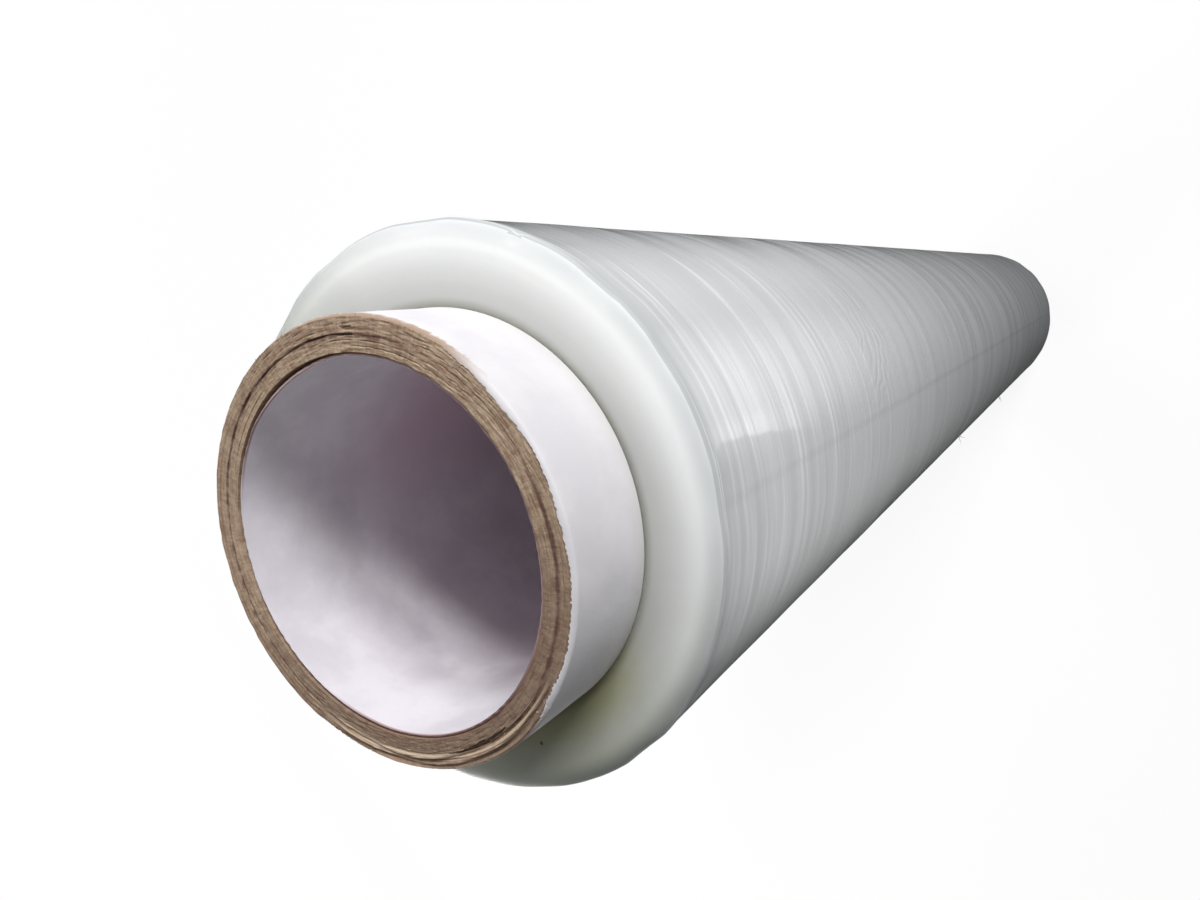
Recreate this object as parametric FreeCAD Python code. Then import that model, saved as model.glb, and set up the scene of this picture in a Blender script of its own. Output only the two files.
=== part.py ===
import FreeCAD, Part

import math
import os

# Stretch wrap roll: clear film wound on a spiral-wound paper core.
# The roll stands on its lower core end. Origin: centre of that end, on the surface it stands on.
# +Z runs up the core's axis. Millimetres and degrees.

# Core, from the bore outwards
CORE_BORE_RADIUS = 25.0
LINER_THICKNESS = 0.4
BOARD_THICKNESS = 4.2
OUTER_PLY_THICKNESS = 0.4
CORE_STUB = 16.0
PAPER_SETBACK = 0.3

# Board plies, as they show at the sawn upper end
BOARD_PLY_COUNT = 6
SAWN_PLY_STEP = 0.15

# Split between two board plies at the upper end
SPLIT_AFTER_PLY = 3
SPLIT_MIDDLE_ANGLE = 52.0
SPLIT_SPAN = 176.0
SPLIT_WIDTH = 0.4
SPLIT_DEPTH = 1.5

# Torn gap where the same two plies stand apart
GAP_MIDDLE_ANGLE = -168.0
GAP_SPAN = 38.0
GAP_WIDTH = 0.9
GAP_DEPTH = 4.0

# Nick torn out of the board at the upper end
NICK_AFTER_PLY = 4
NICK_MIDDLE_ANGLE = -18.0
NICK_SPAN = 5.0
NICK_WIDTH = 1.2
NICK_DEPTH = 1.2

# Crescent where the liner has come away from the board
LIFT_MIDDLE_ANGLE = 10.0
LIFT_SPAN = 64.0
LIFT_WIDTH = 0.5
LIFT_DEPTH = 5.0

# Film
FILM_WIDTH = 500.0
FILM_BUILD = 11.35
FILM_SEAT_CLEARANCE = 0.15
RIM_RISE = 1.2
RIM_CORNER_RADIUS = 1.6
TURN_GROUP_COUNT = 8
TURN_GROUP_STEP = 0.15

# Free end of the last turn, a straight edge along the roll
TAIL_STEP = 0.2
TAIL_ANGLE = -104.0

# Side of the film: a bead at each rim, and gauge bands between them at a few depths below the bead
BEAD_WIDTH = 6.0
GAUGE_BAND_COUNT = 10
GAUGE_BAND_LEVELS = 3
GAUGE_BAND_DEPTH = 0.3
GAUGE_BAND_RAMP = 3.0

# Sizes that follow from the ones above
CORE_LENGTH = FILM_WIDTH + 2 * CORE_STUB
BOARD_INNER_RADIUS = CORE_BORE_RADIUS + LINER_THICKNESS
BOARD_OUTER_RADIUS = BOARD_INNER_RADIUS + BOARD_THICKNESS
CORE_OUTER_RADIUS = BOARD_OUTER_RADIUS + OUTER_PLY_THICKNESS
BOARD_PLY_THICKNESS = BOARD_THICKNESS / BOARD_PLY_COUNT
FILM_INNER_RADIUS = CORE_OUTER_RADIUS + FILM_SEAT_CLEARANCE
FILM_OUTER_RADIUS = FILM_INNER_RADIUS + FILM_BUILD

AXIS = FreeCAD.Vector(0, 0, 1)
AXIS_FOOT = FreeCAD.Vector(0, 0, 0)


def profile_point(radius, height):
    """A point of a section through the axis."""
    return FreeCAD.Vector(radius, 0, height)


def end_point(radius, angle, height):
    """A point seen from above, by its radius and its angle from +X in degrees."""
    turn = math.radians(angle)
    return FreeCAD.Vector(radius * math.cos(turn), radius * math.sin(turn), height)


def line(start, end):
    """A straight edge."""
    return Part.LineSegment(start, end).toShape()


def arc(start, middle, end):
    """A round edge through three points."""
    return Part.Arc(start, middle, end).toShape()


def chain(points):
    """Straight edges from each point to the next."""
    return [line(a, b) for a, b in zip(points, points[1:])]


def tube(inner_radius, outer_radius, bottom, top):
    """A plain round tube on the axis."""
    foot = FreeCAD.Vector(0, 0, bottom)
    outer = Part.makeCylinder(outer_radius, top - bottom, foot, AXIS)
    inner = Part.makeCylinder(inner_radius, top - bottom, foot, AXIS)
    return outer.cut(inner)


def ply_edge_radius(plies):
    """Radius of the board's glue line outside the given number of plies."""
    return BOARD_INNER_RADIUS + plies * BOARD_PLY_THICKNESS


def pointed_slot(radius, middle_angle, span, width, depth):
    """A slot down from the upper core end that follows the wall and runs out to a point at both ends."""
    first = end_point(radius, middle_angle - span / 2, CORE_LENGTH)
    last = end_point(radius, middle_angle + span / 2, CORE_LENGTH)
    outside = end_point(radius + width / 2, middle_angle, CORE_LENGTH)
    inside = end_point(radius - width / 2, middle_angle, CORE_LENGTH)
    outline = Part.Wire([arc(first, outside, last), arc(last, inside, first)])
    return Part.Face(outline).extrude(AXIS * -depth)


def sawn_board():
    """The board tube: flat at its lower end, with every second ply a little lower at the sawn upper end."""
    points = [profile_point(BOARD_OUTER_RADIUS, 0), profile_point(BOARD_INNER_RADIUS, 0)]
    for ply in range(BOARD_PLY_COUNT):
        height = CORE_LENGTH - SAWN_PLY_STEP * (ply % 2)
        points.append(profile_point(ply_edge_radius(ply), height))
        points.append(profile_point(ply_edge_radius(ply + 1), height))
    section = Part.Face(Part.Wire(chain(points + points[:1])))
    return section.revolve(AXIS_FOOT, AXIS, 360)


def core_board():
    """Brown board tube with the split, torn gap, nick and lifted liner's crescent at its upper end."""
    split_radius = ply_edge_radius(SPLIT_AFTER_PLY)
    nick_radius = ply_edge_radius(NICK_AFTER_PLY)
    slots = [
        pointed_slot(split_radius, SPLIT_MIDDLE_ANGLE, SPLIT_SPAN, SPLIT_WIDTH, SPLIT_DEPTH),
        pointed_slot(split_radius, GAP_MIDDLE_ANGLE, GAP_SPAN, GAP_WIDTH, GAP_DEPTH),
        pointed_slot(nick_radius, NICK_MIDDLE_ANGLE, NICK_SPAN, NICK_WIDTH, NICK_DEPTH),
        pointed_slot(BOARD_INNER_RADIUS, LIFT_MIDDLE_ANGLE, LIFT_SPAN, LIFT_WIDTH, LIFT_DEPTH),
    ]
    return sawn_board().cut(slots)


def core_liner():
    """White paper ply that lines the bore."""
    return tube(CORE_BORE_RADIUS, BOARD_INNER_RADIUS, PAPER_SETBACK, CORE_LENGTH - PAPER_SETBACK)


def core_outer_ply():
    """White paper ply round the outside of the board, on which the film is wound."""
    return tube(BOARD_OUTER_RADIUS, CORE_OUTER_RADIUS, PAPER_SETBACK, CORE_LENGTH - PAPER_SETBACK)


def end_face_points(inner_radius, outer_radius, film_end, outwards):
    """Section of one end of the film, from the core to the rim: groups of turns that climb towards the rim.

    outwards is 1 at the upper end and -1 at the lower end.
    """
    group_build = (outer_radius - RIM_CORNER_RADIUS - inner_radius) / TURN_GROUP_COUNT
    group_rise = RIM_RISE / TURN_GROUP_COUNT
    points = []
    for group in range(TURN_GROUP_COUNT):
        near = inner_radius + group * group_build
        low = film_end + outwards * (group * group_rise - TURN_GROUP_STEP * (group % 2))
        points.append(profile_point(near, low))
        points.append(profile_point(near + group_build, low + outwards * group_rise))
    return points


def banded_side(radius, bottom, top):
    """Section of the film's side, from the lower rim to the upper: a bead at each, gauge bands between."""
    band_width = (top - bottom - 2 * BEAD_WIDTH) / GAUGE_BAND_COUNT
    bounds = [bottom + BEAD_WIDTH + band * band_width for band in range(GAUGE_BAND_COUNT + 1)]
    points = [profile_point(radius, bottom), profile_point(radius, bounds[0] - GAUGE_BAND_RAMP / 2)]
    for band in range(GAUGE_BAND_COUNT):
        level = GAUGE_BAND_LEVELS - 1 - band % GAUGE_BAND_LEVELS
        band_radius = radius - GAUGE_BAND_DEPTH * level / (GAUGE_BAND_LEVELS - 1)
        points.append(profile_point(band_radius, bounds[band] + GAUGE_BAND_RAMP / 2))
        points.append(profile_point(band_radius, bounds[band + 1] - GAUGE_BAND_RAMP / 2))
    points.append(profile_point(radius, bounds[-1] + GAUGE_BAND_RAMP / 2))
    points.append(profile_point(radius, top))
    return points


def rim_corner(face_end, side_start):
    """Rounded corner from an end face to the film's side."""
    corner = profile_point(side_start.x, face_end.z)
    centre = profile_point(face_end.x, side_start.z)
    outward = (corner - centre).normalize()
    middle = centre + outward * RIM_CORNER_RADIUS
    return arc(face_end, middle, side_start)


def film_section(inner_radius, outer_radius):
    """Closed section of the wound film, on the +X side of the axis."""
    film_bottom = CORE_STUB
    film_top = CORE_STUB + FILM_WIDTH
    lower_face = end_face_points(inner_radius, outer_radius, film_bottom, -1)
    upper_face = end_face_points(inner_radius, outer_radius, film_top, 1)
    side_bottom = lower_face[-1].z + RIM_CORNER_RADIUS
    side_top = upper_face[-1].z - RIM_CORNER_RADIUS
    side = banded_side(outer_radius, side_bottom, side_top)
    edges = chain([upper_face[0]] + lower_face)
    edges.append(rim_corner(lower_face[-1], side[0]))
    edges.extend(chain(side))
    edges.append(rim_corner(upper_face[-1], side[-1]))
    edges.extend(chain(upper_face[::-1]))
    return Part.Face(Part.Wire(Part.__sortEdges__(edges)))


def film_roll():
    """All turns of the film in one solid, as a spiral drawn with two centres.

    One half is turned about the core's axis. The other is turned about an axis half a step aside, with
    its radii half a step larger, so that each turn runs on smoothly at one side and is one step further
    out when it comes round. The outermost one ends there in the film's free edge.
    """
    half_step = TAIL_STEP / 2
    first_turn = FILM_INNER_RADIUS - TAIL_STEP
    inner_half = film_section(first_turn, FILM_OUTER_RADIUS)
    outer_half = film_section(first_turn + half_step, FILM_OUTER_RADIUS + half_step)
    aside = FreeCAD.Vector(half_step, 0, 0)
    outer_half.translate(aside)
    first = inner_half.revolve(AXIS_FOOT, AXIS, 180)
    second = outer_half.revolve(aside, AXIS, -180)
    core_hole = Part.makeCylinder(FILM_INNER_RADIUS, CORE_LENGTH, AXIS_FOOT, AXIS)
    film = first.fuse(second).cut(core_hole)
    film.rotate(AXIS_FOOT, AXIS, TAIL_ANGLE)
    return film


def main():
    """Build each node and write it to its own file."""
    nodes = {
        "film_roll": film_roll(),
        "core_board": core_board(),
        "core_liner": core_liner(),
        "core_outer_ply": core_outer_ply(),
    }
    os.makedirs("parts", exist_ok=True)
    for name, shape in nodes.items():
        shape.exportStep("parts/" + name + ".step")


main()
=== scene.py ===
import logging
import math
import random
from collections.abc import Callable, Sequence
from dataclasses import dataclass, field
from enum import Enum

import bpy
import numpy as np
from mathutils import Matrix, Vector


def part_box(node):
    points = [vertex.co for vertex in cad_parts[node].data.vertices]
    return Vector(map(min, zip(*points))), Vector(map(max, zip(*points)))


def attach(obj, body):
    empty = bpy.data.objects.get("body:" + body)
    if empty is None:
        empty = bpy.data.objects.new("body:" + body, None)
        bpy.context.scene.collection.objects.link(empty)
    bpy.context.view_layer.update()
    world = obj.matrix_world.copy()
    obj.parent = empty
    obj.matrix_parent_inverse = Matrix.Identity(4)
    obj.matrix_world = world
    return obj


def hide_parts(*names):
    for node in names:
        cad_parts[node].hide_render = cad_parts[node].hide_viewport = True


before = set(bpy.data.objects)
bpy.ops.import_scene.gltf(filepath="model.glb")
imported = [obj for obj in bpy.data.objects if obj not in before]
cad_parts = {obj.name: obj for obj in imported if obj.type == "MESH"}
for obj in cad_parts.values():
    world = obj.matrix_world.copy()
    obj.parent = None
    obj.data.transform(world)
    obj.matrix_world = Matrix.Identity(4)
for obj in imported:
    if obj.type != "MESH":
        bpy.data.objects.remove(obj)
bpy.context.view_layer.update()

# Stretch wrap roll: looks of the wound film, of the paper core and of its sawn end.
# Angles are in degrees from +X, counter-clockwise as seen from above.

LOG = logging.getLogger("stretch_wrap_roll")
MM = 0.001
BODY = "root"
SPIN_PARTS = 8
Colour = tuple[float, float, float]
Outline = list[tuple[float, float]]
Source = object
Socket = bpy.types.NodeSocket


class Face(Enum):
    """The faces of the wound film that have a finish of their own."""

    SIDE = 0
    END = 1


# Mesh helpers


def start_clean() -> None:
    """Leave edit mode and deselect everything, so that the next operator acts on its own piece alone."""
    if bpy.context.object is not None and bpy.context.object.mode != "OBJECT":
        bpy.ops.object.mode_set(mode="OBJECT")
    bpy.ops.object.select_all(action="DESELECT")


def even_steps(start: float, end: float, count: int) -> list[float]:
    """Evenly spaced values.

    Args:
        start: First value.
        end: Value after the last one.
        count: How many values.

    Returns:
        The values from start up to, but not including, end.
    """
    return [start + (end - start) * step / count for step in range(count)]


def turned_shell(name: str, outline: Outline, steps: int) -> bpy.types.Object:
    """Draw a closed section with extruded points and spin it once round the core's axis.

    An eighth of the way is spun, and then doubled three times.

    Args:
        name: Name of the new piece.
        outline: Radius and height of each corner of the section, in metres, in order round it.
        steps: Number of steps round the axis, a multiple of eight.

    Returns:
        The new piece, closed and with its faces outwards.
    """
    start_clean()
    bpy.ops.mesh.primitive_plane_add(size=MM, location=(0, 0, 0))
    shell = bpy.context.object
    shell.name = name
    shell.data.name = name
    bpy.ops.object.mode_set(mode="EDIT")
    bpy.ops.mesh.select_all(action="SELECT")
    bpy.ops.mesh.merge(type="CENTER")
    radius, height = outline[0]
    bpy.ops.transform.translate(value=(radius, 0, height))
    for next_radius, next_height in outline[1:] + outline[:1]:
        step = (next_radius - radius, 0, next_height - height)
        bpy.ops.mesh.extrude_vertices_move(TRANSFORM_OT_translate={"value": step})
        radius, height = next_radius, next_height
    bpy.ops.mesh.select_all(action="SELECT")
    bpy.ops.mesh.remove_doubles(threshold=0.001 * MM)
    bpy.ops.mesh.select_all(action="SELECT")
    sector = math.tau / SPIN_PARTS
    bpy.ops.mesh.spin(steps=steps // SPIN_PARTS, angle=sector, center=(0, 0, 0), axis=(0, 0, 1))
    while sector < math.pi * 1.01:
        bpy.ops.mesh.select_all(action="SELECT")
        bpy.ops.mesh.duplicate()
        bpy.ops.transform.rotate(value=sector, orient_axis="Z", center_override=(0, 0, 0))
        sector *= 2
    bpy.ops.mesh.select_all(action="SELECT")
    bpy.ops.mesh.remove_doubles(threshold=0.001 * MM)
    bpy.ops.mesh.normals_make_consistent(inside=False)
    bpy.ops.object.mode_set(mode="OBJECT")
    return shell


@dataclass
class Points:
    """The places of a mesh's points, seen from the core's axis."""

    radius: np.ndarray
    angle: np.ndarray
    height: np.ndarray


def shape_points(piece: bpy.types.Object, rule: Callable[[Points], Points]) -> None:
    """Move a mesh's points by a rule, as by hand with a sculpting tool.

    Args:
        piece: The piece to shape.
        rule: Takes the points' radius, angle in degrees and height, and returns the new ones.
    """
    mesh = piece.data
    flat = np.empty(len(mesh.vertices) * 3)
    mesh.vertices.foreach_get("co", flat)
    x, y, z = flat.reshape(-1, 3).T
    moved = rule(Points(np.hypot(x, y), np.degrees(np.arctan2(y, x)), z.copy()))
    turn = np.radians(moved.angle)
    places = np.stack([moved.radius * np.cos(turn), moved.radius * np.sin(turn), moved.height], axis=1)
    mesh.vertices.foreach_set("co", places.ravel())
    mesh.update()


def smooth_step(low: float, high: float, value: np.ndarray) -> np.ndarray:
    """0 below low, 1 above high and a smooth rise between them."""
    share = np.clip((value - low) / (high - low), 0, 1)
    return share * share * (3 - 2 * share)


def angle_from(angle: np.ndarray, middle: float) -> np.ndarray:
    """Signed angle in degrees from a middle angle, between -180 and 180."""
    return (angle - middle + 180) % 360 - 180


@dataclass(frozen=True)
class Arc:
    """A span of angles round the axis, in degrees: its middle, its width, and how softly its ends fade."""

    middle: float
    span: float
    soft: float = 0.0


def lens(angle: np.ndarray, arc: Arc) -> np.ndarray:
    """1 at the middle of a span of angles, falling to 0 at both of its ends."""
    return np.clip(1 - (2 * angle_from(angle, arc.middle) / arc.span) ** 2, 0, 1)


@dataclass
class Ripple:
    """A sum of waves round and along the roll, the same on every run."""

    seed: int
    waves: int
    lengths: tuple[float, float]
    turns: int

    def at(self, angle: np.ndarray, place: np.ndarray) -> np.ndarray:
        """Height of the ripple.

        Args:
            angle: Angle round the axis in degrees.
            place: Distance along the section, in metres.

        Returns:
            Values between about -1.5 and 1.5.
        """
        draw = random.Random(self.seed)
        total = np.zeros_like(place)
        for _ in range(self.waves):
            length = self.lengths[0] * (self.lengths[1] / self.lengths[0]) ** draw.random()
            lobes = draw.randint(-self.turns, self.turns)
            phase = draw.uniform(0, math.tau)
            total += np.sin(math.tau * place / length + lobes * np.radians(angle) + phase)
        return total / math.sqrt(self.waves)


# Shader helpers


class NodeSheet:
    """Adds and links nodes in a material, world or group, with short calls."""

    def __init__(self, tree: bpy.types.NodeTree) -> None:
        """Start on a tree.

        Args:
            tree: The node tree that receives the nodes.
        """
        self.tree = tree

    def add(self, kind: str, **values: object) -> bpy.types.Node:
        """Add a node.

        Args:
            kind: The node's type name.
            values: Node properties by name.

        Returns:
            The new node.
        """
        node = self.tree.nodes.new(kind)
        for name, value in values.items():
            setattr(node, name, value)
        return node

    def feed(self, socket: Socket, source: Source) -> None:
        """Give an input socket a link if the source is a socket, or else a plain value."""
        if isinstance(source, bpy.types.NodeSocket):
            self.tree.links.new(source, socket)
        elif socket.type == "RGBA" and len(source) == 3:
            socket.default_value = (*source, 1)
        else:
            socket.default_value = source

    def math(self, operation: str, first: Source, second: Source = 0.0, third: Source = 0.0) -> Socket:
        """Work out one value from up to three values or sockets."""
        node = self.add("ShaderNodeMath", operation=operation)
        for socket, source in zip(node.inputs, (first, second, third)):
            self.feed(socket, source)
        return node.outputs[0]

    def times(self, first: Source, second: Source) -> Socket:
        """One value times another."""
        return self.math("MULTIPLY", first, second)

    def plus(self, first: Source, second: Source) -> Socket:
        """One value plus another."""
        return self.math("ADD", first, second)

    def minus(self, first: Source, second: Source) -> Socket:
        """One value minus another."""
        return self.math("SUBTRACT", first, second)

    def times_plus(self, first: Source, second: Source, third: Source) -> Socket:
        """One value times another, plus a third."""
        return self.math("MULTIPLY_ADD", first, second, third)

    def weighed(self, *parts: tuple[float, Source]) -> Socket:
        """Add up sources, each times its weight."""
        total = self.times(parts[0][1], parts[0][0])
        for weight, source in parts[1:]:
            total = self.times_plus(source, weight, total)
        return total

    def between(self, value: Source, low: float, high: float, start: float = 0.0, end: float = 1.0) -> Socket:
        """Map a value smoothly from low..high to start..end, and hold it there."""
        node = self.add("ShaderNodeMapRange", interpolation_type="SMOOTHSTEP")
        sources = {"Value": value, "From Min": low, "From Max": high, "To Min": start, "To Max": end}
        for name, source in sources.items():
            self.feed(node.inputs[name], source)
        return node.outputs["Result"]

    def length(self, x: Source, y: Source) -> Socket:
        """Distance from the origin in a plane."""
        return self.math("SQRT", self.times_plus(x, x, self.times(y, y)))

    def mix(self, share: Source, first: Source, second: Source, blend: str = "MIX") -> Socket:
        """Mix two colours."""
        node = self.add("ShaderNodeMix", data_type="RGBA", blend_type=blend)
        for index, source in ((0, share), (6, first), (7, second)):
            self.feed(node.inputs[index], source)
        return node.outputs[2]

    def tinted(self, share: Source, colour: Source, tint: Source) -> Socket:
        """Multiply a colour by a tint where the share is 1."""
        return self.mix(share, colour, self.mix(1.0, colour, tint, "MULTIPLY"))

    def noise(self, place: Socket, scale: float, detail: float = 3.0, rough: float = 0.55) -> Socket:
        """Cloudy noise between 0 and 1."""
        node = self.add("ShaderNodeTexNoise")
        self.feed(node.inputs["Vector"], place)
        node.inputs["Scale"].default_value = scale
        node.inputs["Detail"].default_value = detail
        node.inputs["Roughness"].default_value = rough
        return node.outputs["Fac"]

    def join(self, x: Source, y: Source, z: Source = 0.0) -> Socket:
        """Make a place of three values."""
        node = self.add("ShaderNodeCombineXYZ")
        for socket, source in zip(node.inputs, (x, y, z)):
            self.feed(socket, source)
        return node.outputs[0]

    def bump(self, height: Source, distance: float, strength: float = 1.0, under: Source = None) -> Socket:
        """Surface normal raised by a height."""
        node = self.add("ShaderNodeBump")
        self.feed(node.inputs["Height"], height)
        node.inputs["Distance"].default_value = distance
        node.inputs["Strength"].default_value = strength
        if under is not None:
            self.feed(node.inputs["Normal"], under)
        return node.outputs["Normal"]

    def group(self, tree: bpy.types.NodeTree, **sources: Source) -> bpy.types.Node:
        """Place a shader group and feed its inputs by name."""
        node = self.add("ShaderNodeGroup", node_tree=tree)
        for name, source in sources.items():
            self.feed(node.inputs[name], source)
        return node


@dataclass
class Around:
    """Places in a material as seen from the core's axis."""

    place: Socket
    radius: Socket
    angle: Socket
    height: Socket
    x: Socket
    y: Socket


def around_axis(sheet: NodeSheet) -> Around:
    """Add the nodes that give radius, angle in degrees and height, in metres, on a piece."""
    place = sheet.add("ShaderNodeTexCoord").outputs["Object"]
    parts = sheet.add("ShaderNodeSeparateXYZ")
    sheet.feed(parts.inputs[0], place)
    x, y, z = parts.outputs
    radius = sheet.length(x, y)
    angle = sheet.math("DEGREES", sheet.math("ARCTAN2", y, x))
    return Around(place, radius, angle, z, x, y)


def facing(sheet: NodeSheet, around: Around, middle: float) -> Socket:
    """Cosine of the angle round the axis from a middle angle, from -1 to 1."""
    turn = sheet.math("RADIANS", sheet.minus(around.angle, middle))
    return sheet.math("COSINE", turn)


def within(sheet: NodeSheet, around: Around, arc: Arc) -> Socket:
    """1 inside a span of angles, with soft ends.

    Args:
        sheet: The material's sheet.
        around: The material's places.
        arc: The span.

    Returns:
        The mask's socket.
    """
    near = math.cos(math.radians(max(arc.span / 2 - arc.soft / 2, 0)))
    far = math.cos(math.radians(min(arc.span / 2 + arc.soft / 2, 180)))
    return sheet.between(facing(sheet, around, arc.middle), far, near)


def new_group(
    name: str, inputs: Sequence[tuple[str, str]], outputs: Sequence[str]
) -> tuple[bpy.types.NodeTree, NodeSheet, bpy.types.Node, bpy.types.Node]:
    """Make an empty shader node group.

    Args:
        name: The group's name.
        inputs: Name and socket type of each input.
        outputs: Name of each output, all of them values.

    Returns:
        The group, a sheet to add its nodes with, and its input and output nodes.
    """
    group = bpy.data.node_groups.new(name, "ShaderNodeTree")
    for label, kind in inputs:
        group.interface.new_socket(label, in_out="INPUT", socket_type=kind)
    for label in outputs:
        group.interface.new_socket(label, in_out="OUTPUT", socket_type="NodeSocketFloat")
    sheet = NodeSheet(group)
    return group, sheet, sheet.add("NodeGroupInput"), sheet.add("NodeGroupOutput")


def fibre_group() -> bpy.types.NodeTree:
    """Paper fibre: cloudy mottle and short curled hairs, for the board and both paper plies."""
    inputs = [("Place", "NodeSocketVector"), ("Size", "NodeSocketFloat")]
    group, sheet, start, end = new_group("paper_fibre", inputs, ["Mottle", "Hairs"])
    scaled = sheet.add("ShaderNodeVectorMath", operation="SCALE")
    sheet.feed(scaled.inputs[0], start.outputs["Place"])
    sheet.feed(scaled.inputs["Scale"], sheet.math("DIVIDE", 1.0, start.outputs["Size"]))
    mottle = sheet.noise(scaled.outputs[0], 1.0, 4.0, 0.6)
    hairs = sheet.add("ShaderNodeTexNoise")
    sheet.feed(hairs.inputs["Vector"], scaled.outputs[0])
    hairs.inputs["Scale"].default_value = 3.0
    hairs.inputs["Detail"].default_value = 2.0
    hairs.inputs["Distortion"].default_value = 2.5
    sheet.feed(end.inputs["Mottle"], mottle)
    sheet.feed(end.inputs["Hairs"], hairs.outputs["Fac"])
    return group


def wound_lines_group() -> bpy.types.NodeTree:
    """Lines of the wound turns, along one coordinate, which drift a little round the roll."""
    inputs = [("Across", "NodeSocketFloat"), ("Place", "NodeSocketVector"), ("Spacing", "NodeSocketFloat")]
    group, sheet, start, end = new_group("wound_lines", inputs, ["Fine", "Broad"])
    parts = sheet.add("ShaderNodeSeparateXYZ")
    sheet.feed(parts.inputs[0], start.outputs["Place"])
    across = sheet.math("DIVIDE", start.outputs["Across"], start.outputs["Spacing"])
    for name, share, drift in (("Fine", 1.0, 20.0), ("Broad", 0.2, 9.0)):
        x = sheet.times(parts.outputs[0], drift)
        y = sheet.times(parts.outputs[1], drift)
        lines = sheet.join(x, y, sheet.times(across, share))
        sheet.feed(end.inputs[name], sheet.noise(lines, 1.0, 3.0, 0.6))
    return group


# Finishes


class SharedEffects:
    """The shader groups that more than one material uses."""

    def __init__(self) -> None:
        """Build the groups."""
        self.fibre = fibre_group()
        self.lines = wound_lines_group()


def blank_material(name: str, preview: Colour) -> tuple[bpy.types.Material, NodeSheet, bpy.types.Node]:
    """Make a material that holds only a Principled shader.

    Args:
        name: The material's name.
        preview: Colour in the plain view.

    Returns:
        The material, a sheet to add its nodes with, and the shader.
    """
    material = bpy.data.materials.new(name)
    material.use_nodes = True
    material.diffuse_color = (*preview, 1)
    shader = material.node_tree.nodes["Principled BSDF"]
    return material, NodeSheet(material.node_tree), shader


@dataclass(frozen=True)
class FilmSideFinish:
    """Glossy film round the side of the roll: cool grey white, with fine lines round it."""

    pale: Colour = (0.475, 0.49, 0.50)
    deep: Colour = (0.405, 0.42, 0.43)
    streak: Colour = (0.68, 0.695, 0.705)
    line_spacing: float = 1.1 * MM
    half_width: float = 250 * MM
    middle_height: float = 266 * MM
    taut: Arc = Arc(-139.0, 74.0, 34.0)
    wrinkle_foot: tuple[float, float] = (447 * MM, -72.0)
    wrinkle_spacing: float = 2.9 * MM
    wrinkle_wander: float = 11 * MM
    mm_per_degree: float = 0.72 * MM

    def wrinkles(self, sheet: NodeSheet, around: Around) -> Socket:
        """Nested curved ridges, like a fingerprint, where the last turns lie loose.

        Args:
            sheet: The material's sheet.
            around: The material's places.

        Returns:
            The height of the ridges.
        """
        height, angle = self.wrinkle_foot
        along = sheet.minus(around.height, height)
        round_it = sheet.times(sheet.minus(around.angle, angle), self.mm_per_degree)
        wander = sheet.noise(around.place, 130.0, 3.0)
        far = sheet.times_plus(wander, self.wrinkle_wander, sheet.length(along, round_it))
        ridges = sheet.math("SINE", sheet.times(far, math.tau / self.wrinkle_spacing))
        near = sheet.between(far, 10 * MM, 17 * MM)
        near = sheet.times(near, sheet.between(far, 36 * MM, 26 * MM))
        low = sheet.between(around.height, 445 * MM, 436 * MM)
        return sheet.times(sheet.times(ridges, near), low)

    def build(self, effects: SharedEffects) -> bpy.types.Material:
        """Make the material.

        Args:
            effects: The shared shader groups.

        Returns:
            The new material.
        """
        material, sheet, shader = blank_material("film_side", self.pale)
        around = around_axis(sheet)
        spacing = self.line_spacing
        lines = sheet.group(effects.lines, Across=around.height, Place=around.place, Spacing=spacing)
        fine, broad = lines.outputs
        cloud = sheet.noise(around.place, 26.0, 3.0)
        clear = sheet.between(around.height, 180 * MM, 430 * MM, 0.55, 1.0)
        taut = within(sheet, around, self.taut)
        clear = sheet.times(clear, sheet.times_plus(taut, -0.45, 1.0))
        fine_share = sheet.times_plus(sheet.minus(fine, 0.5), clear, 0.5)
        broad_share = sheet.times_plus(sheet.minus(broad, 0.5), clear, 0.5)
        tone = sheet.weighed((0.45, fine_share), (0.25, broad_share), (0.3, cloud))
        colour = sheet.mix(sheet.between(tone, 0.36, 0.64), self.deep, self.pale)
        streaks = sheet.times(sheet.between(fine, 0.56, 0.68, 0.0, 0.8), clear)
        colour = sheet.mix(streaks, colour, self.streak)
        sheet.feed(shader.inputs["Base Color"], colour)
        from_middle = sheet.math("ABSOLUTE", sheet.minus(around.height, self.middle_height))
        rim = sheet.between(from_middle, self.half_width - 2.5 * MM, self.half_width - 0.6 * MM)
        rough = sheet.between(broad_share, 0.3, 0.7, 0.34, 0.26)
        sheet.feed(shader.inputs["Roughness"], sheet.times_plus(rim, 0.3, rough))
        coat = sheet.between(sheet.weighed((0.6, fine_share), (0.4, broad_share)), 0.38, 0.60, 0.35, 1.0)
        coat = sheet.times(coat, sheet.minus(1.0, rim))
        sheet.feed(shader.inputs["Coat Weight"], coat)
        wrinkles = self.wrinkles(sheet, around)
        normal = sheet.bump(sheet.weighed((1.0, fine_share), (1.5, broad_share)), 0.036 * MM, 0.75)
        normal = sheet.bump(wrinkles, 0.024 * MM, 0.9, normal)
        sheet.feed(shader.inputs["Normal"], normal)
        shader.inputs["IOR"].default_value = 1.5
        shader.inputs["Specular IOR Level"].default_value = 0.6
        shader.inputs["Coat Roughness"].default_value = 0.05
        return material


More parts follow.
